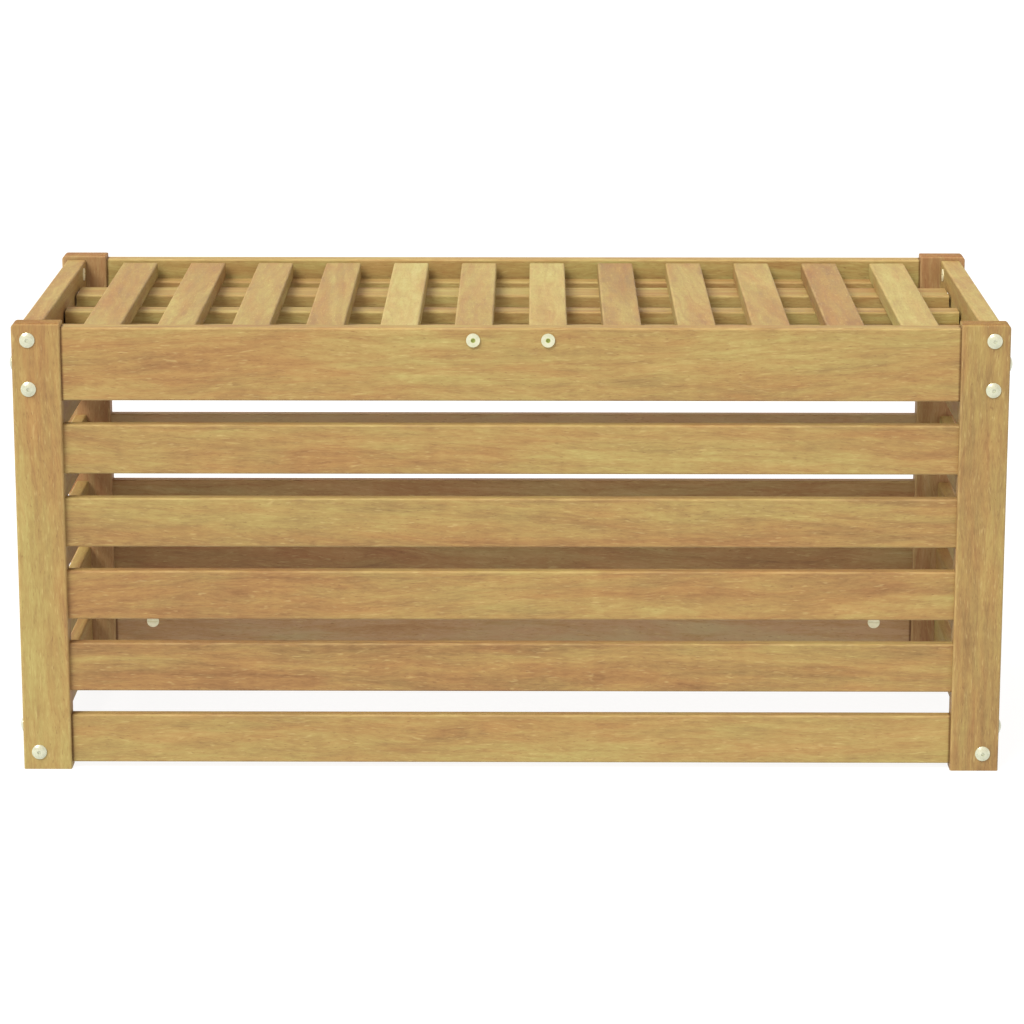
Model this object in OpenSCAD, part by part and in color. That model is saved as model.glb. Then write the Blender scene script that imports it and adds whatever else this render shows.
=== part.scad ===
// Slatted wooden deck storage box with a tipping slatted lid.
// X runs along the box, +Y points to the back, +Z up.
// The origin is on the ground, below the middle of the box.

/* [Box] */
// Overall length, over the outer faces of the posts
box_w = 1140; // [960:10:1500]
// Overall depth, over the front and back faces of the posts
box_d = 500; // [400:10:700]
// Overall height, to the tops of the posts
box_h = 530; // [440:5:700]
// Clear height under the bottom rails
ground_gap = 7; // [4:1:40]

/* [Posts] */
// Width of a post, seen from the front
post_w = 56; // [46:1:75]
// Thickness of a post, front to back
post_t = 28; // [24:1:45]
// Rounding of the outer top corner of a post
post_corner_r = 6; // [3:0.5:9]

/* [Rails and wall slats] */
// Height of the top rails
rail_h = 85; // [68:1:110]
// Thickness of the front and back top rails
rail_t = 22; // [18:0.5:24]
// Thickness of the side top rails
side_rail_t = 24; // [20:0.5:28]
// Drop of the top rails below the post tops
rail_drop = 5; // [2:0.5:12]
// Height of the wall slats and of the bottom rails
board_h = 58; // [46:1:70]
// Thickness of the wall slats and of the bottom rails
board_t = 16; // [14:0.5:20]
// Distance from a post's outer side to the middle of the side walls
side_wall_in = 18.5; // [15:0.5:22]
// Rounding of the long edges of every board
edge_r = 2.5; // [1:0.25:4]

/* [Joinery] */
// Length of the tenons of the front and back slats
long_tenon = 15; // [8:1:22]
// Length of the tenons of the side slats
side_tenon = 12; // [6:1:16]
// Thickness of the tenons
tenon_t = 10; // [7:0.5:12]
// Step from a slat's edge to its tenon's edge
tenon_step = 7; // [3:0.5:10]
// Play on each side of a tenon
tenon_gap = 0.2; // [0.1:0.05:0.5]
// Diameter of the dowels
dowel_d = 8; // [6:1:10]
// Depth of a dowel in the end of a rail
dowel_in_rail = 16; // [10:1:25]
// Depth of a dowel in a post, for the front and back rails
dowel_in_post = 13; // [8:1:20]
// Depth of a dowel in a post, for the side bottom rails
side_dowel_in_post = 8; // [5:1:9]
// Distance of the rail dowels from the middle of a top rail
rail_dowel_off = 24; // [18:1:28]

/* [Frame bolts] */
// Diameter of the frame bolts
bolt_d = 6; // [5:0.5:8]
// Diameter of a frame bolt's domed head
head_d = 17.4; // [14:0.2:20]
// Height of a frame bolt's domed head
head_h = 4; // [3:0.25:5]
// Distance of the frame bolts from the edges of the rails
bolt_in = 14; // [11:0.5:18]
// Distance from the box's outer side to the nuts of the front and back rails
long_nut_in = 104; // [84:1:140]
// Distance from the box's outer face to the nuts of the side rails
side_nut_in = 56; // [45:1:80]
// Diameter of a barrel nut's body
nut_d = 10; // [9:0.5:13]
// Diameter of a barrel nut's cap
nut_cap_d = 15.5; // [12:0.5:18]
// Height of a barrel nut's cap
nut_cap_h = 1; // [0.6:0.1:1.5]
// Play around a bolt, nut, dowel or screw in its hole
hole_gap = 0.2; // [0.1:0.05:0.5]

/* [Lid] */
// Width of a lid slat
lid_slat_w = 44; // [34:1:60]
// Thickness of a lid slat
lid_slat_t = 20; // [16:0.5:24]
// Drop of the lid slats below the top rails
lid_drop = 3; // [1:0.5:8]
// Clear distance from a side top rail to the outermost lid slat
lid_side_gap = 47; // [30:1:70]
// Gap between the lid rest brackets and the lid's front end
lid_front_gap = 2; // [1:0.5:6]
// Clearance of the lid's back end past the nut caps on the back rail, as it tips
lid_swing_gap = 1; // [0.5:0.1:4]
// Gap between a side top rail and the ends of the long battens
batten_end_gap = 2.5; // [2:0.25:5]
// Thickness of the battens under the lid
batten_t = 16; // [14:0.5:20]
// Width of the pivot batten and of its twin near the front
wide_batten_w = 58; // [48:1:70]
// Width of the middle batten
middle_batten_w = 32; // [26:1:40]
// Width of the battens at the front and back ends of the lid
end_batten_w = 26; // [20:1:32]
// Distance from the back rail to the lid's pivot line
pivot_in = 100; // [95:1:120]

/* [Lid hardware] */
// Diameter of the pivot bolts
pivot_d = 6; // [5:0.5:7]
// Radial play of a pivot bolt in its bushing
pivot_play = 0.05; // [0.01:0.01:0.1]
// Outer diameter of the pivot bushings
bushing_d = 9; // [8:0.5:10]
// Length of a pivot bushing inside its batten
bushing_len = 40; // [25:1:60]
// Thickness of a pivot bushing's flange
bushing_flange_t = 1.5; // [1:0.1:1.6]
// Length of the threaded inserts that hold the pivot bolts
insert_len = 15; // [10:1:18]
// Thickness of the steel of the lid rest brackets
bracket_t = 3; // [2:0.25:3.5]
// Width of a lid rest bracket
bracket_w = 30; // [20:1:40]
// Reach of a lid rest bracket under the lid
bracket_reach = 24; // [15:1:30]
// Diameter of a lid rest bolt's flat head
rest_head_d = 15.8; // [12:0.2:18]
// Height of a lid rest bolt's flat head
rest_head_h = 2.4; // [1.5:0.1:3.5]
// Gap between the closed lid and what it rests on
rest_gap = 0.4; // [0.3:0.05:1]
// Width and height of the cleats on the side rails
cleat_size = 20; // [15:1:25]
// Diameter of the wood screws
screw_d = 4; // [3:0.5:5]
// Diameter of a wood screw's countersunk head
screw_head_d = 8; // [6:0.5:9]
// Depth of a lid screw in its slat
lid_screw_bite = 14; // [8:0.5:14]

/* [Hidden] */

$fn = 48;
CUT = 1;               // how far a cutter runs past the face that it opens
FIT_GAP = 0.05;        // radial gap that stands for a thread or a press fit
PIVOT_END = 1;         // pivot bolt short of its bushing's inner end
HEX = 6;               // sides of a hexagonal socket
SOCKET_AF = 4;         // key size of the bolts' sockets
SOCKET_DEPTH = 1.8;
HEAD_RIM = 1.2;        // straight rim below a domed head
NUT_PAST_BOLT = 5;     // barrel nut beyond its bolt's middle
BOLT_PAST_NUT = 6;     // bolt beyond its nut's middle
SLOT_W = 1.4;          // screwdriver slot of a barrel nut
SLOT_DEPTH = 0.6;
TENON_END = 1;         // room at the end of a tenon
WALL_SLATS = 4;
LID_SLATS = 12;

wood = [0.78, 0.62, 0.38];
light_wood = [0.84, 0.71, 0.45];
pale_zinc = [0.87, 0.86, 0.76];
steel = [0.70, 0.70, 0.68];
white_nylon = [0.90, 0.89, 0.85];

span_x = box_w - 2 * post_w;            // between the posts, along X
span_y = box_d - 2 * post_t;            // between the posts, along Y
wall_y = box_d / 2 - post_t / 2;        // middle of the front and back walls
wall_x = box_w / 2 - side_wall_in;      // middle of the side walls
rail_top = box_h - rail_drop;
rail_z = rail_top - rail_h / 2;
wall_gap = (rail_top - rail_h - ground_gap - (WALL_SLATS + 1) * board_h) / (WALL_SLATS + 1);
side_bolt_z = [rail_z, ground_gap + board_h - bolt_in];
corner_bolt_z = [rail_top - bolt_in, rail_top - rail_h + bolt_in, ground_gap + bolt_in];
long_dowel_z = [rail_z - rail_dowel_off, rail_z + rail_dowel_off, ground_gap + bolt_in];
side_dowel_z = ground_gap + board_h - bolt_in;
long_nut_x = box_w / 2 - long_nut_in;
side_nut_y = box_d / 2 - side_nut_in;

rail_in_y = wall_y - rail_t / 2;        // inner faces of the front and back top rails
rail_in_x = wall_x - side_rail_t / 2;   // inner faces of the side top rails
rail_out_x = wall_x + side_rail_t / 2;
lid_top = rail_top - lid_drop;
slat_under = lid_top - lid_slat_t;
batten_z = slat_under - batten_t / 2;
batten_under = slat_under - batten_t;
pivot_y = rail_in_y - pivot_in;
tail_reach = pivot_in - nut_cap_h - lid_swing_gap;   // from the pivot line to the lid's back top corner
lid_front = -rail_in_y + bracket_t + lid_front_gap;
lid_back = pivot_y + sqrt(pow(tail_reach, 2) - pow(lid_top - batten_z, 2));
lid_pitch = (2 * (rail_in_x - lid_side_gap) - lid_slat_w) / (LID_SLATS - 1);
lid_half_w = rail_in_x - lid_side_gap;
batten_half = rail_in_x - batten_end_gap;
front_batten_y = lid_front + end_batten_w / 2;
rear_batten_y = lid_back - end_batten_w / 2;
batten_rows = [front_batten_y, -pivot_y, 0, pivot_y, rear_batten_y];
rest_bolt_x = lid_pitch / 2;
rest_bolt_z = rail_top - bolt_in;
rest_z = batten_under - rest_gap;
cleat_end = 10;                         // cleat beyond the battens that it carries
cleat_front = -pivot_y - wide_batten_w / 2 - cleat_end;
cleat_back = middle_batten_w / 2 + cleat_end;
cleat_screw_y = [for (t = [0.15, 0.5, 0.85]) cleat_front + t * (cleat_back - cleat_front)];
cleat_screw_bite = 15;
bushing_flange_d = 14;

function board_z(i) = ground_gap + board_h / 2 + i * (board_h + wall_gap);
function lid_slat_x(i) = (i - (LID_SLATS + 1) / 2) * lid_pitch;
function nut_len(thickness) = thickness / 2 + NUT_PAST_BOLT;

// ---- profiles and blanks ----

// Rectangle w by h with rounded corners, about its middle.
module rounded_rect(w, h, r) {
  square([w - 2 * r, h], center = true);
  square([w, h - 2 * r], center = true);
  for (x = [-1, 1], y = [-1, 1])
    translate([x * (w / 2 - r), y * (h / 2 - r)])
      circle(r);
}

// Rectangle standing on the X axis, its top corners rounded by left_r and right_r.
module rounded_top(w, h, left_r, right_r) {
  top_r = max(left_r, right_r);
  translate([-w / 2, 0])
    square([w, h - top_r]);
  translate([-w / 2 + left_r, 0])
    square([w - left_r - right_r, h]);
  translate([-w / 2, 0])
    square([left_r, h - left_r]);
  translate([-w / 2 + left_r, h - left_r])
    circle(left_r);
  translate([w / 2 - right_r, h - right_r])
    circle(right_r);
}

// Boards with rounded long edges, about their middle.
module board_x(length, height, thickness)
  rotate([90, 0, 90])
    linear_extrude(length, center = true)
      rounded_rect(thickness, height, edge_r);

module board_y(length, height, thickness)
  rotate([90, 0, 0])
    linear_extrude(length, center = true)
      rounded_rect(thickness, height, edge_r);

// A rod of diameter d, from the origin along an axis.
module rod_x(d, length)
  rotate([0, 90, 0])
    cylinder(d = d, h = length);

module rod_y(d, length)
  rotate([-90, 0, 0])
    cylinder(d = d, h = length);

// Children at +1 and -1 of an axis.
module both_x()
  for (m = [0, 1])
    mirror([m, 0, 0])
      children();

module both_y()
  for (m = [0, 1])
    mirror([0, m, 0])
      children();

// ---- hardware ----

// Domed head on the plane z = 0, its shank below, with a hexagonal socket.
module domed_bolt(length, d = bolt_d) {
  cap_h = head_h - HEAD_RIM;
  cap_r = (cap_h * cap_h + head_d * head_d / 4) / (2 * cap_h);
  difference() {
    union() {
      cylinder(d = head_d, h = HEAD_RIM);
      translate([0, 0, HEAD_RIM])
        rotate_extrude()
          intersection() {
            translate([0, cap_h - cap_r])
              circle(cap_r, $fn = 128);
            square([head_d / 2, cap_h]);
          }
      translate([0, 0, -length])
        cylinder(d = d, h = length);
    }
    translate([0, 0, head_h - SOCKET_DEPTH])
      cylinder(d = SOCKET_AF / cos(30), h = SOCKET_DEPTH + CUT, $fn = HEX);
  }
}

// Barrel nut entering along +Y from the plane y = 0, its bolt crossing along X.
module barrel_nut(thickness)
  difference() {
    union() {
      rod_y(nut_d, nut_len(thickness));
      translate([0, -nut_cap_h, 0])
        rod_y(nut_cap_d, nut_cap_h);
    }
    translate([-nut_d, thickness / 2, 0])
      rod_x(bolt_d + 2 * FIT_GAP, 2 * nut_d);
    translate([-nut_cap_d / 2, -nut_cap_h - CUT, -SLOT_W / 2])
      cube([nut_cap_d, SLOT_DEPTH + CUT, SLOT_W]);
  }

// Countersunk screw pointing up from the plane z = 0.
module wood_screw(length, gap = 0) {
  cylinder(d = screw_d + 2 * gap, h = length + gap);
  translate([0, 0, -gap])
    cylinder(d1 = screw_head_d + 2 * gap, d2 = screw_d + 2 * gap, h = (screw_head_d - screw_d) / 2 + gap);
}

// ---- cutters, for the quarter at +X +Y ----

// Holes along Y for the bolts of a side wall.
module corner_bolt_holes(zs)
  for (z = zs)
    translate([wall_x, side_nut_y - BOLT_PAST_NUT - CUT, z])
      rod_y(bolt_d + 2 * hole_gap, side_nut_in + BOLT_PAST_NUT + 2 * CUT);

// Holes along X for the bolts of the back wall.
module side_bolt_holes(zs)
  for (z = zs)
    translate([long_nut_x - BOLT_PAST_NUT - CUT, wall_y, z])
      rod_x(bolt_d + 2 * hole_gap, long_nut_in + BOLT_PAST_NUT + 2 * CUT);

module long_dowel_holes(zs)
  for (z = zs)
    translate([span_x / 2 - dowel_in_rail - CUT, wall_y, z])
      rod_x(dowel_d + 2 * hole_gap, dowel_in_rail + dowel_in_post + 2 * CUT);

module side_dowel_hole()
  translate([wall_x, span_y / 2 - dowel_in_rail - CUT, side_dowel_z])
    rod_y(dowel_d + 2 * hole_gap, dowel_in_rail + side_dowel_in_post + 2 * CUT);

// Nut holes of the back wall, from the inner face of a board of this thickness.
module long_nut_holes(thickness, zs)
  for (z = zs)
    translate([long_nut_x, wall_y - thickness / 2 - CUT, z])
      rod_y(nut_d + 2 * hole_gap, nut_len(thickness) + hole_gap + CUT);

// Nut holes of the right wall.
module side_nut_holes(thickness, zs)
  for (z = zs)
    translate([wall_x - thickness / 2 - CUT, side_nut_y, z])
      rod_x(nut_d + 2 * hole_gap, nut_len(thickness) + hole_gap + CUT);

module long_tenon_block(i, gap = 0, extra = 0)
  translate([span_x / 2 - CUT, wall_y - tenon_t / 2 - gap, board_z(i) - board_h / 2 + tenon_step - gap])
    cube([long_tenon + extra + CUT, tenon_t + 2 * gap, board_h - 2 * tenon_step + 2 * gap]);

module side_tenon_block(i, gap = 0, extra = 0)
  translate([wall_x - tenon_t / 2 - gap, span_y / 2 - CUT, board_z(i) - board_h / 2 + tenon_step - gap])
    cube([tenon_t + 2 * gap, side_tenon + extra + CUT, board_h - 2 * tenon_step + 2 * gap]);

// ---- frame ----

// Post of the +X +Y corner.
module post_blank()
  translate([box_w / 2 - post_w / 2, wall_y, 0])
    intersection() {
      linear_extrude(box_h)
        rounded_rect(post_w, post_t, edge_r);
      rotate([90, 0, 0])
        linear_extrude(post_t + 2 * CUT, center = true)
          rounded_top(post_w, box_h, edge_r, post_corner_r);
      rotate([90, 0, 90])
        linear_extrude(post_w + 2 * CUT, center = true)
          rounded_top(post_t, box_h, edge_r, edge_r);
    }

module post()
  color(wood)
    difference() {
      post_blank();
      corner_bolt_holes(corner_bolt_z);
      side_bolt_holes(side_bolt_z);
      long_dowel_holes(long_dowel_z);
      side_dowel_hole();
      for (i = [1:WALL_SLATS]) {
        long_tenon_block(i, tenon_gap, TENON_END);
        side_tenon_block(i, tenon_gap, TENON_END);
      }
    }

// Back top rail; the front one is its mirror image.
module long_top_rail()
  color(wood)
    difference() {
      translate([0, wall_y, rail_z])
        board_x(span_x, rail_h, rail_t);
      both_x() {
        side_bolt_holes([side_bolt_z[0]]);
        long_dowel_holes([long_dowel_z[0], long_dowel_z[1]]);
        long_nut_holes(rail_t, [side_bolt_z[0]]);
      }
    }

module front_top_rail()
  difference() {
    mirror([0, 1, 0])
      long_top_rail();
    both_x()
      translate([rest_bolt_x, -box_d / 2, rest_bolt_z])
        rod_y(bolt_d + 2 * hole_gap, post_t + CUT);
  }

module long_bottom_rail()
  color(wood)
    difference() {
      translate([0, wall_y, board_z(0)])
        board_x(span_x, board_h, board_t);
      both_x() {
        side_bolt_holes([side_bolt_z[1]]);
        long_dowel_holes([long_dowel_z[2]]);
        long_nut_holes(board_t, [side_bolt_z[1]]);
      }
    }

// Right top rail; the left one is its mirror image.
module side_top_rail()
  color(wood)
    difference() {
      translate([wall_x, 0, rail_z])
        board_y(span_y, rail_h, side_rail_t);
      both_y() {
        corner_bolt_holes([corner_bolt_z[0], corner_bolt_z[1]]);
        side_nut_holes(side_rail_t, [corner_bolt_z[0], corner_bolt_z[1]]);
      }
      translate([rail_in_x - CUT, pivot_y, batten_z])
        rod_x(pivot_d + 2 * hole_gap, side_rail_t + 2 * CUT);
      translate([rail_in_x - CUT, pivot_y, batten_z])
        rod_x(nut_d + 2 * hole_gap, insert_len + hole_gap + CUT);
      for (y = cleat_screw_y)
        translate([rail_in_x - CUT, y, rest_z - cleat_size / 2])
          rod_x(screw_d + 2 * hole_gap, cleat_screw_bite + hole_gap + CUT);
    }

module side_bottom_rail()
  color(wood)
    difference() {
      translate([wall_x, 0, board_z(0)])
        board_y(span_y, board_h, board_t);
      both_y() {
        corner_bolt_holes([corner_bolt_z[2]]);
        side_dowel_hole();
        side_nut_holes(board_t, [corner_bolt_z[2]]);
      }
    }

// Slats are numbered from the ground up.
module long_slat(i)
  color(wood) {
    translate([0, wall_y, board_z(i)])
      board_x(span_x, board_h, board_t);
    both_x()
      long_tenon_block(i);
  }

module side_slat(i)
  color(wood) {
    translate([wall_x, 0, board_z(i)])
      board_y(span_y, board_h, board_t);
    both_y()
      side_tenon_block(i);
  }

module dowels()
  color(light_wood)
    both_x()
      both_y() {
        for (z = long_dowel_z)
          translate([span_x / 2 - dowel_in_rail, wall_y, z])
            rod_x(dowel_d, dowel_in_rail + dowel_in_post);
        translate([wall_x, span_y / 2 - dowel_in_rail, side_dowel_z])
          rod_y(dowel_d, dowel_in_rail + side_dowel_in_post);
      }

module corner_bolts()
  color(pale_zinc)
    both_x()
      both_y()
        for (z = corner_bolt_z)
          translate([wall_x, box_d / 2, z])
            rotate([-90, 0, 0])
              domed_bolt(side_nut_in + BOLT_PAST_NUT);

module side_bolts()
  color(pale_zinc)
    both_x()
      both_y()
        for (z = side_bolt_z)
          translate([box_w / 2, wall_y, z])
            rotate([0, 90, 0])
              domed_bolt(long_nut_in + BOLT_PAST_NUT);

module barrel_nuts()
  color(pale_zinc)
    both_x()
      both_y() {
        translate([long_nut_x, wall_y - rail_t / 2, side_bolt_z[0]])
          barrel_nut(rail_t);
        translate([long_nut_x, wall_y - board_t / 2, side_bolt_z[1]])
          barrel_nut(board_t);
        for (i = [0, 1])
          translate([rail_in_x, side_nut_y, corner_bolt_z[i]])
            rotate([0, 0, -90])
              barrel_nut(side_rail_t);
        translate([wall_x - board_t / 2, side_nut_y, corner_bolt_z[2]])
          rotate([0, 0, -90])
            barrel_nut(board_t);
      }

// ---- lid supports ----

// Right cleat; the left one is its mirror image.
module lid_cleat()
  color(wood)
    difference() {
      translate([rail_in_x - cleat_size / 2, (cleat_front + cleat_back) / 2, rest_z - cleat_size / 2])
        board_y(cleat_back - cleat_front, cleat_size, cleat_size);
      for (y = cleat_screw_y)
        translate([rail_in_x - cleat_size, y, rest_z - cleat_size / 2])
          rotate([0, 90, 0])
            wood_screw(cleat_size + CUT, hole_gap);
    }

module cleat_screws()
  color(steel)
    both_x()
      for (y = cleat_screw_y)
        translate([rail_in_x - cleat_size, y, rest_z - cleat_size / 2])
          rotate([0, 90, 0])
            wood_screw(cleat_size + cleat_screw_bite);

// Angle brackets behind the front rail, under the lid's front edge.
module lid_rest_brackets()
  color(steel)
    both_x()
      difference() {
        translate([rest_bolt_x - bracket_w / 2, -rail_in_y, rest_z - bracket_t])
          union() {
            cube([bracket_w, bracket_reach, bracket_t]);
            cube([bracket_w, bracket_t, rest_bolt_z + bolt_d - rest_z + bracket_t]);
          }
        translate([rest_bolt_x, -rail_in_y - CUT, rest_bolt_z])
          rod_y(bolt_d + 2 * FIT_GAP, bracket_t + 2 * CUT);
      }

module lid_rest_bolts()
  color(pale_zinc)
    both_x()
      translate([rest_bolt_x, -rail_in_y - rail_t, rest_bolt_z])
        difference() {
          union() {
            rod_y(bolt_d, rail_t + bracket_t);
            translate([0, -rest_head_h, 0])
              rod_y(rest_head_d, rest_head_h);
          }
          translate([0, -rest_head_h - CUT, 0])
            rotate([-90, 0, 0])
              cylinder(d = SOCKET_AF / cos(30), h = SOCKET_DEPTH + CUT, $fn = HEX);
        }

// ---- pivots ----

module pivot_inserts()
  color(steel)
    both_x()
      translate([rail_in_x, pivot_y, batten_z])
        difference() {
          rod_x(nut_d, insert_len);
          translate([-CUT, 0, 0])
            rod_x(pivot_d + 2 * FIT_GAP, insert_len + 2 * CUT);
        }

module pivot_bolts()
  color(pale_zinc)
    both_x()
      translate([rail_out_x, pivot_y, batten_z])
        rotate([0, 90, 0])
          domed_bolt(rail_out_x - batten_half + bushing_len - PIVOT_END, pivot_d);

module pivot_bushings()
  color(white_nylon)
    both_x()
      difference() {
        union() {
          translate([batten_half - bushing_len, pivot_y, batten_z])
            rod_x(bushing_d, bushing_len + bushing_flange_t);
          translate([batten_half, pivot_y, batten_z])
            rod_x(bushing_flange_d, bushing_flange_t);
        }
        translate([batten_half - bushing_len - CUT, pivot_y, batten_z])
          rod_x(pivot_d + 2 * pivot_play, bushing_len + bushing_flange_t + 2 * CUT);
      }

// ---- lid ----

// Lid slats are numbered from the left.
module lid_slat(i)
  color(light_wood)
    difference() {
      translate([lid_slat_x(i), (lid_front + lid_back) / 2, lid_top - lid_slat_t / 2])
        intersection() {
          board_y(lid_back - lid_front, lid_slat_t, lid_slat_w);
          rotate([90, 0, 90])
            linear_extrude(lid_slat_w + 2 * CUT, center = true)
              rounded_rect(lid_back - lid_front, lid_slat_t, edge_r);
        }
      for (y = batten_rows)
        translate([lid_slat_x(i), y, slat_under - CUT])
          cylinder(d = screw_d + 2 * hole_gap, h = lid_screw_bite + hole_gap + CUT);
    }

// Batten centred on y, reaching half_length to each side.
module lid_batten(y, width, half_length)
  color(wood)
    difference() {
      translate([0, y, batten_z])
        board_x(2 * half_length, batten_t, width);
      for (i = [1:LID_SLATS])
        translate([lid_slat_x(i), y, batten_under])
          wood_screw(batten_t + CUT, hole_gap);
    }

module lid_pivot_batten()
  difference() {
    lid_batten(pivot_y, wide_batten_w, batten_half);
    both_x()
      translate([batten_half - bushing_len - CUT, pivot_y, batten_z])
        rod_x(bushing_d + 2 * FIT_GAP, bushing_len + 2 * CUT);
  }

module lid_screws()
  color(steel)
    for (i = [1:LID_SLATS], y = batten_rows)
      translate([lid_slat_x(i), y, batten_under])
        wood_screw(batten_t + lid_screw_bite);

// ---- drawing ----

rotate([0, 0, 180]) post();  // front_left_post
mirror([0, 1, 0]) post();  // front_right_post
mirror([1, 0, 0]) post();  // rear_left_post
post();  // rear_right_post
front_top_rail();
long_top_rail();  // rear_top_rail
mirror([1, 0, 0]) side_top_rail();  // left_top_rail
side_top_rail();  // right_top_rail
mirror([0, 1, 0]) long_bottom_rail();  // front_bottom_rail
long_bottom_rail();  // rear_bottom_rail
mirror([1, 0, 0]) side_bottom_rail();  // left_bottom_rail
side_bottom_rail();  // right_bottom_rail
for (i = [1:WALL_SLATS]) {
  mirror([0, 1, 0]) long_slat(i);
  long_slat(i);
  mirror([1, 0, 0]) side_slat(i);
  side_slat(i);
}
dowels();
corner_bolts();
side_bolts();
barrel_nuts();
mirror([1, 0, 0]) lid_cleat();  // left_lid_cleat
lid_cleat();  // right_lid_cleat
cleat_screws();
lid_rest_brackets();
lid_rest_bolts();
pivot_inserts();
pivot_bolts();
for (i = [1:LID_SLATS])
  lid_slat(i);
lid_batten(front_batten_y, end_batten_w, lid_half_w);  // lid_front_batten
lid_batten(-pivot_y, wide_batten_w, batten_half);  // lid_second_batten
lid_batten(0, middle_batten_w, batten_half);  // lid_middle_batten
lid_pivot_batten();
lid_batten(rear_batten_y, end_batten_w, lid_half_w);  // lid_rear_batten
lid_screws();
pivot_bushings();
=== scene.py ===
"""Looks of the slatted wooden storage box: oiled acacia boards, pale zinc bolts, a white studio."""
import math
import random

import bpy
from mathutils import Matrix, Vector


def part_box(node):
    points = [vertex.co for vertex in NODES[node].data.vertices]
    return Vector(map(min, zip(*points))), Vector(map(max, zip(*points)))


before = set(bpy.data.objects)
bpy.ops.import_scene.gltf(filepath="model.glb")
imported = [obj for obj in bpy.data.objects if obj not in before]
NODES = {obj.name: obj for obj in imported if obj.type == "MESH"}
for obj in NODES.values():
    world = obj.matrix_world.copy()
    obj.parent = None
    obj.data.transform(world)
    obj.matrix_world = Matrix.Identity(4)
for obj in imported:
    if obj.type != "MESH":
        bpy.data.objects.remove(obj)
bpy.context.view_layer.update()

# ---- camera and studio: places and sizes in metres ----

EYE = Vector((0.029, -4.406, 1.299))    # where the viewer stands
AIM = Vector((0.0, 0.0, 0.251))         # what the camera points at
LENS = 130.4                            # millimetres, on a 36 mm sensor

WHITE = (1.0, 1.0, 1.0, 1.0)
FLOOR_SIZE = 60.0
FLOOR_GREY = (0.15, 0.15, 0.15, 1.0)
FLOOR_ROUGH = 0.9
FLOOR_SHEEN = 0.1
FLOOR_GLOW = 0.9
SKY_TINT = (0.92, 0.81, 0.76, 1.0)      # the dome above the white horizon
SKY_FADE = (0.04, 0.3)                  # how far up, as a sine, the tint starts, and where it is full
KEY_FROM = Vector((-0.42, -0.48, 0.72))  # direction towards the key light
KEY_STRENGTH = 3.45
KEY_COLOUR = (1.0, 1.0, 0.92)
KEY_WIDTH = math.radians(32)

# ---- colours, as they look on a screen ----


def colour(red, green, blue):
    """Linear RGBA of an 8-bit screen colour."""
    def channel(value):
        value /= 255
        return value / 12.92 if value <= 0.04045 else ((value + 0.055) / 1.055) ** 2.4
    return (channel(red), channel(green), channel(blue), 1.0)


WOOD_RAMP = [
    (0.00, colour(123, 96, 64)),
    (0.25, colour(145, 118, 78)),
    (0.45, colour(158, 133, 86)),
    (0.60, colour(165, 144, 94)),
    (0.78, colour(174, 157, 105)),
    (1.00, colour(183, 172, 125)),
]
YELLOW_CAST = colour(249, 255, 238)
ORANGE_CAST = colour(250, 231, 219)
REAR_SHADE_TINT = colour(248, 234, 255)       # a rosy tint painted on most rear boards as the shade inside the box
PORE = colour(112, 78, 50)
FLECK = colour(206, 188, 128)
# the paler corners' colour: sanding wear, and a painted edge highlight
RUBBED_AND_HIGHLIT = colour(196, 172, 120)
END_PORE = colour(218, 198, 170)        # the end grain's colours and the painted joint shade multiply the wood's
END_WOOD = colour(252, 246, 234)
# painted shade: the colour of the band just before a joint
JOINT_SHADE_COLOUR = colour(138, 106, 80)
PLATING_SPOT = colour(150, 146, 116)
# the olive darkening in the rest bolts' sockets
SOCKET_OLIVE = colour(150, 160, 78)

# ---- boards ----

AXES = {"X": 0, "Y": 1, "Z": 2}
# Turns that bring each grain direction onto X, and the axes in their new order.
GRAIN_TURNS = {
    "X": (0.0, 0.0, 0.0),
    "Y": (0.0, 0.0, -math.pi / 2),
    "Z": (0.0, math.pi / 2, 0.0),
}
TURNED_ORDER = {"X": (0, 1, 2), "Y": (1, 0, 2), "Z": (2, 1, 0)}

# Board by board: how light it is, and how orange, both around 0. The others draw their own. Some rear
# entries are painted light and shade: rear_slat_3 and rear_bottom_rail are set much lighter against
# the shade inside the box, and the rear posts warmer for its rosy tint.
LOOKS = {
    "front_top_rail": (-0.06, 0.0),
    "front_slat_4": (-0.07, -0.05),
    "front_slat_3": (-0.15, 0.0),
    "front_slat_2": (-0.12, 0.15),
    "front_slat_1": (-0.18, 0.12),
    "front_bottom_rail": (-0.02, -0.22),
    "front_left_post": (-0.08, 0.08),
    "front_right_post": (-0.16, -0.15),
    "lid_slat_1": (-0.04, -0.12),
    "lid_slat_2": (-0.02, -0.15),
    "lid_slat_3": (0.04, -0.35),
    "lid_slat_4": (-0.04, -0.03),
    "lid_slat_5": (0.24, -0.1),
    "lid_slat_6": (0.08, -0.4),
    "lid_slat_7": (0.23, -0.35),
    "lid_slat_8": (-0.13, -0.05),
    "lid_slat_9": (0.01, -0.2),
    "lid_slat_10": (-0.02, 0.0),
    "lid_slat_11": (-0.14, 0.1),
    "lid_slat_12": (0.14, -0.17),
    "lid_middle_batten": (0.03, 0.0),
    "lid_pivot_batten": (0.06, 0.0),
    "left_top_rail": (-0.02, 0.0),
    "right_top_rail": (0.08, -0.15),
    "rear_left_post": (0.06, 0.3),
    "rear_right_post": (0.04, 0.25),
    "rear_top_rail": (0.08, -0.15),
    "rear_slat_3": (0.55, 0.25),
    "rear_bottom_rail": (0.38, 0.5),
}
REAR_LIGHT_LIFT = 0.06                        # painted light: added to the tone that a rosy-tinted rear board draws
FLAT_SAWN_SHARE = 0.6                   # of the boards; the others are cut nearer to the radius
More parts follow.
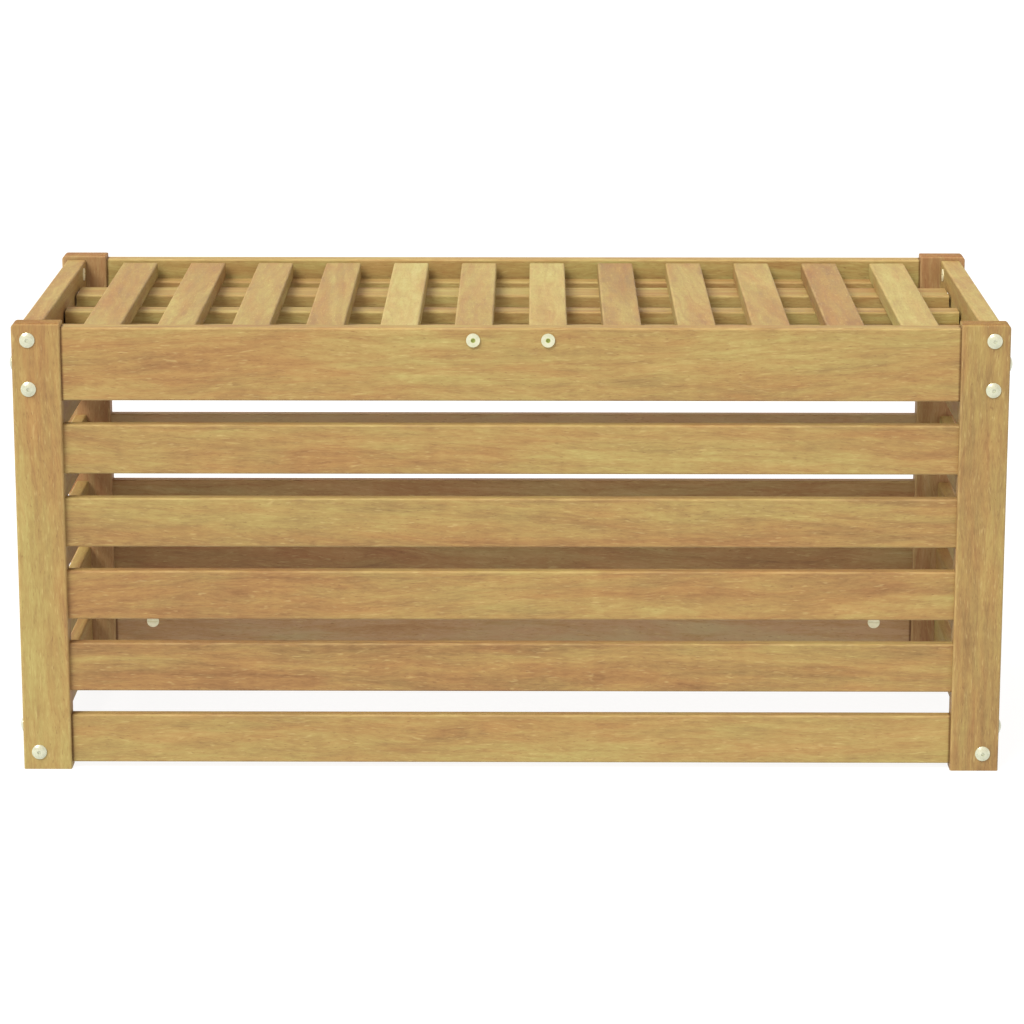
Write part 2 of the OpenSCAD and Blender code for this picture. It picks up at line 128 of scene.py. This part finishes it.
BUTTED = ("rail", "front_slat", "rear_slat", "left_slat", "right_slat")     # ends hidden in a joint
# how dark the painted shade just before a joint is
JOINT_SHADE_DEPTH = 0.8

# ---- wood: lengths in metres, and noise in cycles per metre ----

WOOD_INPUTS = {
    "Place": "Vector",      # from the board's centre, with the grain along X
    "Facing": "Float",      # 1 on the cut ends, 0 on the long faces
    "Half size": "Vector",
    "Tilt": "Vector",       # how the board lies in its log
    "Pith": "Vector",       # and where
    "Tone": "Float",        # lighter above 0
    "Warmth": "Float",      # more orange above 0
    "Bands": "Float",       # how clear the year rings are
    "Seam": "Float",        # how dark the painted shade at the joints is
    # white, or the rosy tint painted on rear boards as shade
    "Cast": "Color",
}
WOOD_OUTPUTS = {"Color": "Color", "Roughness": "Float", "Height": "Float"}

# The fibres wander slowly and flutter a little: how far, and in what noise, as in LAYERS.
DRIFTS = (
    (0.034, (2.6, 13, 2.0, 0.5)),
    (0.006, (16, 70, 1.0, 0.5)),
)
# Layers that follow the rings: noise along the radius, its detail and its roughness.
RING_LAYERS = {
    "rings": (120.0, 3.0, 0.55),
    "late": (420.0, 2.0, 0.6),
}
# Layers that follow the fibres: noise along and across, its detail and its roughness.
LAYERS = {
    "patch": (6, 42, 3.0, 0.6),
    "hue": (7, 52, 4.0, 0.62),
    "streak": (15, 120, 3.0, 0.6),
    "dash": (75, 520, 3.0, 0.68),
    "fibre": (160, 2300, 2.0, 0.6),
    "ripple": (75, 12, 1.0, 0.5),
    "pore": (150, 900, 1.0, 0.4),
    "fleck": (80, 560, 1.0, 0.4),
}
# Moved, so that they don't repeat the patches and the dashes.
LAYER_SHIFTS = {
    "hue": (3.7, 1.3, 9.1),
    "fleck": (1.1, 0.0, 0.0),
}
BROAD = (2.4, 14, 1.0, 0.5)             # one more layer, which doesn't wander
BROAD_SHIFT = (0.0, 2.9, 5.3)
PORE_RANGE = (0.66, 0.76)               # noise where a pore starts, and where it is full
FLECK_RANGE = (0.63, 0.76)

# How much each layer changes the shade, the hue, the roughness and the height.
RING_WEIGHTS = {"rings": 0.46, "late": 0.16}
SHADE_WEIGHTS = {
    "broad": 0.34,
    "patch": 0.44,
    "streak": 0.56,
    "dash": 0.6,
    "fibre": 0.16,
    "ripple": 0.14,
}
WARM_WEIGHTS = {"hue": 2.6, "broad": -1.4}
ROUGH_WEIGHTS = {"streak": 0.22, "dash": 0.16, "patch": 0.12}
HEIGHT_WEIGHTS = {"streak": 0.4, "dash": 0.6, "fibre": 0.55, "late": 0.2}
PORE_MIX = 0.4
FLECK_MIX = 0.22
PORE_DEPTH = 0.5

CORNER_WIDTH = (0.001, 0.0032)          # the paler corner, wear with a painted highlight, is whole up to here, and gone from there
RUB_AND_HIGHLIGHT_NOISE = (26, 70, 3.0, 0.6)
RUB_AND_HIGHLIGHT_RANGE = (0.42, 0.66)
RUB_AND_HIGHLIGHT_MIX = (0.04, 0.28)                  # least and most
END_RANGE = (0.55, 0.85)                # facing from which a face is end grain
END_NOISE = (900, 900, 2.0, 0.6)
END_NOISE_RANGE = (0.42, 0.62)
SEAM_WIDTH = (0.0006, 0.0034)

WOOD_ROUGH = 0.6
WORN_ROUGHER = 0.12
END_ROUGHER = 0.14
WOOD_SHINE = 0.25
WOOD_BUMP = 0.5
GRAIN_DEPTH = 0.0004


class Graph:
    """Short calls that add shader nodes to a tree and link them."""

    def __init__(self, tree):
        self.tree = tree

    def node(self, kind, **settings):
        made = self.tree.nodes.new(kind)
        for name, value in settings.items():
            setattr(made, name, value)
        return made

    def feed(self, socket, value):
        if isinstance(value, bpy.types.NodeSocket):
            self.tree.links.new(value, socket)
        else:
            socket.default_value = value

    def math(self, operation, *values, clamp=False):
        made = self.node("ShaderNodeMath", operation=operation, use_clamp=clamp)
        for socket, value in zip(made.inputs, values):
            self.feed(socket, value)
        return made.outputs[0]

    def vector(self, operation, *values):
        made = self.node("ShaderNodeVectorMath", operation=operation)
        for socket, value in zip(made.inputs, values):
            self.feed(socket, value)
        return made.outputs["Value" if operation == "LENGTH" else "Vector"]

    def split(self, vector):
        made = self.node("ShaderNodeSeparateXYZ")
        self.feed(made.inputs[0], vector)
        return made.outputs

    def noise(self, vector, stretch, detail, roughness, output=0):
        made = self.node("ShaderNodeTexNoise")
        self.feed(made.inputs["Vector"], self.vector("MULTIPLY", vector, stretch))
        made.inputs["Scale"].default_value = 1.0
        made.inputs["Detail"].default_value = detail
        made.inputs["Roughness"].default_value = roughness
        return made.outputs[output]

    def grain(self, vector, along, across, detail, roughness, output=0):
        """Noise that is stretched along X, the grain's direction."""
        return self.noise(vector, (along, across, across), detail, roughness, output)

    def noise_1d(self, value, detail, roughness):
        made = self.node("ShaderNodeTexNoise", noise_dimensions="1D")
        self.feed(made.inputs["W"], value)
        made.inputs["Scale"].default_value = 1.0
        made.inputs["Detail"].default_value = detail
        made.inputs["Roughness"].default_value = roughness
        return made.outputs[0]

    def spread(self, value, low, high, to_low=0.0, to_high=1.0, smooth=False):
        made = self.node("ShaderNodeMapRange", clamp=True)
        if smooth:
            made.interpolation_type = "SMOOTHSTEP"
        for name, number in (("Value", value), ("From Min", low), ("From Max", high),
                             ("To Min", to_low), ("To Max", to_high)):
            self.feed(made.inputs[name], number)
        return made.outputs[0]

    def ramp(self, value, stops):
        made = self.node("ShaderNodeValToRGB")
        elements = made.color_ramp.elements
        while len(elements) < len(stops):
            elements.new(0.5)
        for element, (place, shade) in zip(elements, stops):
            element.position = place
            element.color = shade
        self.feed(made.inputs[0], value)
        return made.outputs[0]

    def mix(self, factor, first, second, blend="MIX"):
        """Two colours mixed, with the factor clamped. Sockets 6 and 7 are the colour pair."""
        made = self.node("ShaderNodeMix", data_type="RGBA", blend_type=blend)
        self.feed(made.inputs["Factor"], factor)
        self.feed(made.inputs[6], first)
        self.feed(made.inputs[7], second)
        return made.outputs[2]

    def weighted(self, start, *pairs):
        """start plus each (value - 0.5) times its weight."""
        total = start
        for value, weight in pairs:
            centred = self.math("SUBTRACT", value, 0.5)
            total = self.math("MULTIPLY_ADD", centred, weight, total)
        return total

    def weighted_layers(self, start, layers, weights):
        return self.weighted(start, *((layers[name], weight) for name, weight in weights.items()))

    def bump(self, height, strength, distance):
        made = self.node("ShaderNodeBump")
        made.inputs["Strength"].default_value = strength
        made.inputs["Distance"].default_value = distance
        self.feed(made.inputs["Height"], height)
        return made.outputs[0]

    def surface(self, base, rough, normal):
        """The Principled shader, linked to the material's output."""
        shader = self.node("ShaderNodeBsdfPrincipled")
        self.feed(shader.inputs["Base Color"], base)
        self.feed(shader.inputs["Roughness"], rough)
        self.feed(shader.inputs["Normal"], normal)
        self.feed(self.node("ShaderNodeOutputMaterial").inputs[0], shader.outputs[0])
        return shader


def new_material(name):
    """A material with an empty node tree, and its graph."""
    material = bpy.data.materials.new(name)
    material.use_nodes = True
    material.node_tree.nodes.clear()
    return material, Graph(material.node_tree)


def add_wood_sockets(group):
    for in_out, sockets in (("INPUT", WOOD_INPUTS), ("OUTPUT", WOOD_OUTPUTS)):
        for name, kind in sockets.items():
            group.interface.new_socket(name=name, in_out=in_out, socket_type="NodeSocket" + kind)


def log_place(g, given):
    """The place in the log that the board was cut from, with the pith along X."""
    turned = g.node("ShaderNodeMapping")
    g.feed(turned.inputs["Vector"], given["Place"])
    g.feed(turned.inputs["Location"], given["Pith"])
    g.feed(turned.inputs["Rotation"], given["Tilt"])
    return turned.outputs[0]


def fibre_place(g, block):
    """The same place along wandering fibres, so the rings and the streaks wander with them."""
    place = block
    for reach, texture in DRIFTS:
        drift = g.grain(block, *texture, "Color")
        drift = g.vector("SUBTRACT", drift, (0.5, 0.5, 0.5))
        place = g.vector("ADD", place, g.vector("MULTIPLY", drift, (0.0, reach, reach)))
    return place


def wood_layers(g, block):
    """Every layer of the grain. Pores and flecks are spots from 0 to 1; the others vary around 0.5."""
    fibres = fibre_place(g, block)
    radius = g.vector("LENGTH", g.vector("MULTIPLY", fibres, (0.0, 1.0, 1.0)))
    layers = {"broad": g.grain(g.vector("ADD", block, BROAD_SHIFT), *BROAD)}
    for name, (cycles, *texture) in RING_LAYERS.items():
        layers[name] = g.noise_1d(g.math("MULTIPLY", radius, cycles), *texture)
    for name, texture in LAYERS.items():
        shift = LAYER_SHIFTS.get(name)
        layers[name] = g.grain(g.vector("ADD", fibres, shift) if shift else fibres, *texture)
    layers["pore"] = g.spread(layers["pore"], *PORE_RANGE)
    layers["fleck"] = g.spread(layers["fleck"], *FLECK_RANGE)
    return layers


def planed_face(g, given, layers):
    """The colour of the wood where it was planed."""
    shade = 0.5
    for name, weight in RING_WEIGHTS.items():
        shade = g.weighted(shade, (layers[name], g.math("MULTIPLY", given["Bands"], weight)))
    shade = g.weighted_layers(shade, layers, SHADE_WEIGHTS)
    base = g.ramp(g.math("ADD", shade, given["Tone"]), WOOD_RAMP)
    warm = g.weighted_layers(g.math("ADD", given["Warmth"], 0.5), layers, WARM_WEIGHTS)
    # the Cast input multiplies in the rosy tint painted as shade on rear boards
    cast = g.mix(1.0, g.mix(warm, YELLOW_CAST, ORANGE_CAST), given["Cast"], "MULTIPLY")
    base = g.mix(1.0, base, cast, "MULTIPLY")
    base = g.mix(g.math("MULTIPLY", layers["pore"], PORE_MIX), base, PORE)
    return g.mix(g.math("MULTIPLY", layers["fleck"], FLECK_MIX), base, FLECK)


def wear_and_highlight_at_corners(g, given, inset):
    """How much the corners are paler, here and there: sanding wear, and a painted highlight along the
    edges.
    """
    corner = g.spread(g.math("MAXIMUM", inset["Y"], inset["Z"]), *CORNER_WIDTH, 1.0, 0.0, smooth=True)
    rub_and_highlight_amount = g.spread(g.grain(given["Place"], *RUB_AND_HIGHLIGHT_NOISE), *RUB_AND_HIGHLIGHT_RANGE, *RUB_AND_HIGHLIGHT_MIX)
    return g.math("MULTIPLY", corner, rub_and_highlight_amount)


def end_grain(g, given, base, end):
    """The cut ends have open pores, and drink more oil."""
    speck = g.spread(g.grain(given["Place"], *END_NOISE), *END_NOISE_RANGE)
    return g.mix(end, base, g.mix(1.0, base, g.mix(speck, END_PORE, END_WOOD), "MULTIPLY"))


def paint_joint_shade(g, given, base, end, inset):
    """Painted shade darkens the last millimetres before a joint."""
    near_joint = g.spread(inset["X"], *SEAM_WIDTH, 1.0, 0.0, smooth=True)
    joint_shade_amount = g.math("MULTIPLY", near_joint, given["Seam"])
    joint_shade_amount = g.math("MULTIPLY", joint_shade_amount, g.math("SUBTRACT", 1.0, end))
    return g.mix(joint_shade_amount, base, JOINT_SHADE_COLOUR, "MULTIPLY")


def wood_roughness(g, layers, end, worn_and_highlit):
    rough = g.weighted_layers(WOOD_ROUGH, layers, ROUGH_WEIGHTS)
    rough = g.math("MULTIPLY_ADD", worn_and_highlit, WORN_ROUGHER, rough)
    return g.math("MULTIPLY_ADD", end, END_ROUGHER, rough, clamp=True)


def wood_height(g, layers):
    height = g.weighted_layers(0.5, layers, HEIGHT_WEIGHTS)
    return g.math("SUBTRACT", height, g.math("MULTIPLY", layers["pore"], PORE_DEPTH))


def wood_group():
    """Solid acacia, with its grain along X and its pith beside the X axis."""
    group = bpy.data.node_groups.new("solid_acacia", "ShaderNodeTree")
    add_wood_sockets(group)
    g = Graph(group)
    given = g.node("NodeGroupInput").outputs
    layers = wood_layers(g, log_place(g, given))
    insets = g.split(g.vector("SUBTRACT", given["Half size"], g.vector("ABSOLUTE", given["Place"])))
    inset = dict(zip(AXES, insets))     # how far inside the board's faces
    end = g.spread(given["Facing"], *END_RANGE)
    worn_and_highlit = wear_and_highlight_at_corners(g, given, inset)

    # paler corners: wear, and a painted edge highlight
    base = g.mix(worn_and_highlit, planed_face(g, given, layers), RUBBED_AND_HIGHLIT)
    base = end_grain(g, given, base, end)
    # painted shade just before the joints
    base = paint_joint_shade(g, given, base, end, inset)
    out = g.node("NodeGroupOutput")
    g.feed(out.inputs["Color"], base)
    g.feed(out.inputs["Roughness"], wood_roughness(g, layers, end, worn_and_highlit))
    g.feed(out.inputs["Height"], wood_height(g, layers))
    return group


def grain_axis(size):
    """The axis that the board is longest along."""
    return max(AXES, key=lambda axis: size[AXES[axis]])


def log_cut(name, thin_is_z):
    """The board's own place in its log and its colour, with painted shade and light on most rear
    boards, as inputs of the wood group.
    """
    draw = random.Random(name)
    tone = draw.uniform(-0.08, 0.05)
    warmth = draw.uniform(-0.1, 0.3)
    side = draw.choice((-1, 1))
    flat_sawn = draw.random() < FLAT_SAWN_SHARE
    depth = (draw.uniform(0.03, 0.07) if flat_sawn else draw.uniform(0.10, 0.22)) * side
    across = draw.uniform(-0.03, 0.03) if flat_sawn else draw.uniform(0.05, 0.12) * side
    tilt = (0.0, math.radians(draw.uniform(-2.6, 2.6)), math.radians(draw.uniform(-1.6, 1.6)))
    along = draw.uniform(-40.0, 40.0)
    bands = draw.uniform(0.7, 1.25)

    # rear boards but the top rail get painted shade and light: a rosy tint, and a lighter tone
    rosy = name.startswith("rear_") and name != "rear_top_rail"
    tone, warmth = LOOKS.get(name, (tone + REAR_LIGHT_LIFT if rosy else tone, warmth))
    return {
        "Tilt": tilt,
        "Pith": (along, across, depth) if thin_is_z else (along, depth, across),
        "Tone": tone,
        "Warmth": warmth,
        "Bands": bands,
        "Seam": JOINT_SHADE_DEPTH if any(part in name for part in BUTTED) else 0.0,
        "Cast": REAR_SHADE_TINT if rosy else WHITE,
    }


def wood_material(name, group):
    """One board's own wood: its centre, its size, and where it was cut from the log."""
    low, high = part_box(name)
    axis = grain_axis(high - low)
    half = [((high - low) / 2)[i] for i in TURNED_ORDER[axis]]

    material, g = new_material(name + "_acacia")
    where = g.node("ShaderNodeTexCoord").outputs
    turn = g.node("ShaderNodeMapping")
    g.feed(turn.inputs["Vector"], g.vector("SUBTRACT", where["Object"], tuple((low + high) / 2)))
    turn.inputs["Rotation"].default_value = GRAIN_TURNS[axis]
    wood = g.node("ShaderNodeGroup", node_tree=group)
    g.feed(wood.inputs["Place"], turn.outputs[0])
    g.feed(wood.inputs["Facing"], g.math("ABSOLUTE", g.split(where["Normal"])[AXES[axis]]))
    wood.inputs["Half size"].default_value = half
    for socket, value in log_cut(name, half[2] < half[1]).items():
        wood.inputs[socket].default_value = value

    normal = g.bump(wood.outputs["Height"], WOOD_BUMP, GRAIN_DEPTH)
    shader = g.surface(wood.outputs["Color"], wood.outputs["Roughness"], normal)
    shader.inputs["Specular IOR Level"].default_value = WOOD_SHINE
    return material


# ---- metal and nylon ----

# Light and dark plating, how metallic it is, and how rough.
FINISHES = {
    "pale_zinc": (colour(208, 210, 186), colour(188, 191, 167), 0.5, 0.24),
    # the barrel nuts' zinc is a paler copy: painted light and reflection for nuts in the shade inside
    # the box
    "nut_zinc_painted_light": (colour(243, 240, 208), colour(232, 230, 194), 0.3, 0.4),
    "rest_bolt_zinc": (colour(204, 204, 177), colour(190, 192, 162), 0.3, 0.36),
    "zinc_steel": (colour(160, 160, 152), colour(132, 133, 126), 0.8, 0.4),
    "white_nylon": (colour(220, 218, 210), colour(208, 205, 196), 0.0, 0.5),
}
FITTINGS = {
    "corner_bolts": "pale_zinc",
    "side_bolts": "pale_zinc",
    "barrel_nuts": "nut_zinc_painted_light",
    "pivot_bolts": "pale_zinc",
    "lid_rest_bolts": "rest_bolt_zinc",
    "lid_rest_brackets": "zinc_steel",
    "lid_screws": "zinc_steel",
    "cleat_screws": "zinc_steel",
    "pivot_inserts": "zinc_steel",
    "pivot_bushings": "white_nylon",
}
CLOUD_NOISE = ((130, 130, 130), 3.0, 0.6)
CLOUD_RANGE = (0.35, 0.7)
SCRATCH_NOISE = ((2600, 300, 1100), 2.0, 0.6)
SPOT_NOISE = ((900, 900, 900), 2.0, 0.6)
SPOT_RANGE = (0.62, 0.72)
SPOT_MIX = 0.4
CLOUD_ROUGHER = 0.2
SCRATCH_ROUGHER = 0.22
METAL_BUMP = 0.25
SCRATCH_DEPTH = 0.0001
SOCKET_RADII = (0.003 * 0.85, 0.003)    # the olive darkening is whole up to here, and gone from there


def metal_material(name, sockets):
    """Cloudy plating, spots and fine scratches, and a dull olive darkening in the sockets at these
    places.
    """
    light, dark, metallic, roughness = FINISHES[name]
    material, g = new_material(name)
    place = g.node("ShaderNodeTexCoord").outputs["Object"]
    cloud = g.noise(place, *CLOUD_NOISE)
    scratch = g.noise(place, *SCRATCH_NOISE)
    spot = g.spread(g.noise(place, *SPOT_NOISE), *SPOT_RANGE)
    base = g.mix(g.spread(cloud, *CLOUD_RANGE), light, dark)
    base = g.mix(g.math("MULTIPLY", spot, SPOT_MIX), base, PLATING_SPOT)
    for centre in sockets:
        away = g.vector("LENGTH", g.vector("SUBTRACT", place, centre))
        base = g.mix(g.spread(away, *SOCKET_RADII, 1.0, 0.0), base, SOCKET_OLIVE)
    rough = g.weighted(roughness, (cloud, CLOUD_ROUGHER), (scratch, SCRATCH_ROUGHER))
    normal = g.bump(g.math("ADD", scratch, cloud), METAL_BUMP, SCRATCH_DEPTH)
    shader = g.surface(base, rough, normal)
    shader.inputs["Metallic"].default_value = metallic
    return material


def socket_centres(node):
    """Where the node's leftmost and rightmost bolts have their sockets, on the heads' front."""
    low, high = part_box(node)
    head_radius = (high.z - low.z) / 2
    middle_z = (high.z + low.z) / 2
    return [(x, low.y, middle_z) for x in (low.x + head_radius, high.x - head_radius)]


def fitting_materials():
    """The material of every node that isn't wood."""
    sockets = {"rest_bolt_zinc": socket_centres("lid_rest_bolts")}
    made = {name: metal_material(name, sockets.get(name, ())) for name in FINISHES}
    return {node: made[finish] for node, finish in FITTINGS.items()}


def dress_nodes():
    """Every CAD node keeps its shape and gets its material."""
    acacia = wood_group()
    fittings = fitting_materials()
    for name in sorted(NODES):
        materials = NODES[name].data.materials
        materials.clear()
        materials.append(fittings[name] if name in fittings else wood_material(name, acacia))


# ---- studio ----


def floor_material():
    """Pale matt acrylic over a light table, so that shadows stay faint."""
    material = bpy.data.materials.new("floor_white")
    material.use_nodes = True
    shader = material.node_tree.nodes["Principled BSDF"]
    shader.inputs["Base Color"].default_value = FLOOR_GREY
    shader.inputs["Roughness"].default_value = FLOOR_ROUGH
    shader.inputs["Specular IOR Level"].default_value = FLOOR_SHEEN
    shader.inputs["Emission Color"].default_value = WHITE
    shader.inputs["Emission Strength"].default_value = FLOOR_GLOW
    return material


def add_floor():
    half = FLOOR_SIZE / 2
    mesh = bpy.data.meshes.new("studio_floor")
    corners = [(-half, -half, 0), (half, -half, 0), (half, half, 0), (-half, half, 0)]
    mesh.from_pydata(corners, [], [(0, 1, 2, 3)])
    mesh.materials.append(floor_material())
    floor = bpy.data.objects.new("studio_floor", mesh)
    bpy.context.scene.collection.objects.link(floor)


def add_key_light():
    """One wide soft light, high at the front and to the left."""
    light = bpy.data.lights.new("key_light", "SUN")
    light.energy = KEY_STRENGTH
    light.color = KEY_COLOUR
    light.angle = KEY_WIDTH
    holder = bpy.data.objects.new("key_light", light)
    holder.rotation_euler = KEY_FROM.to_track_quat("Z", "Y").to_euler()
    bpy.context.scene.collection.objects.link(holder)


def add_sky():
    """A plain dome, white at the horizon and a warmer grey above."""
    world = bpy.data.worlds.new("studio")
    world.use_nodes = True
    g = Graph(world.node_tree)
    up = g.split(g.node("ShaderNodeTexCoord").outputs["Generated"])[2]
    shade = g.mix(g.spread(up, *SKY_FADE, smooth=True), WHITE, SKY_TINT)
    g.feed(world.node_tree.nodes["Background"].inputs["Color"], shade)
    bpy.context.scene.world = world


def add_studio():
    bpy.context.scene.view_settings.view_transform = "Standard"
    add_floor()
    add_key_light()
    add_sky()


def add_camera():
    data = bpy.data.cameras.new("camera")
    data.lens = LENS
    data.clip_end = 2 * FLOOR_SIZE
    camera = bpy.data.objects.new("camera", data)
    camera.location = EYE
    camera.rotation_euler = (AIM - EYE).to_track_quat("-Z", "Y").to_euler()
    bpy.context.scene.collection.objects.link(camera)
    bpy.context.scene.camera = camera


dress_nodes()
add_studio()
add_camera()
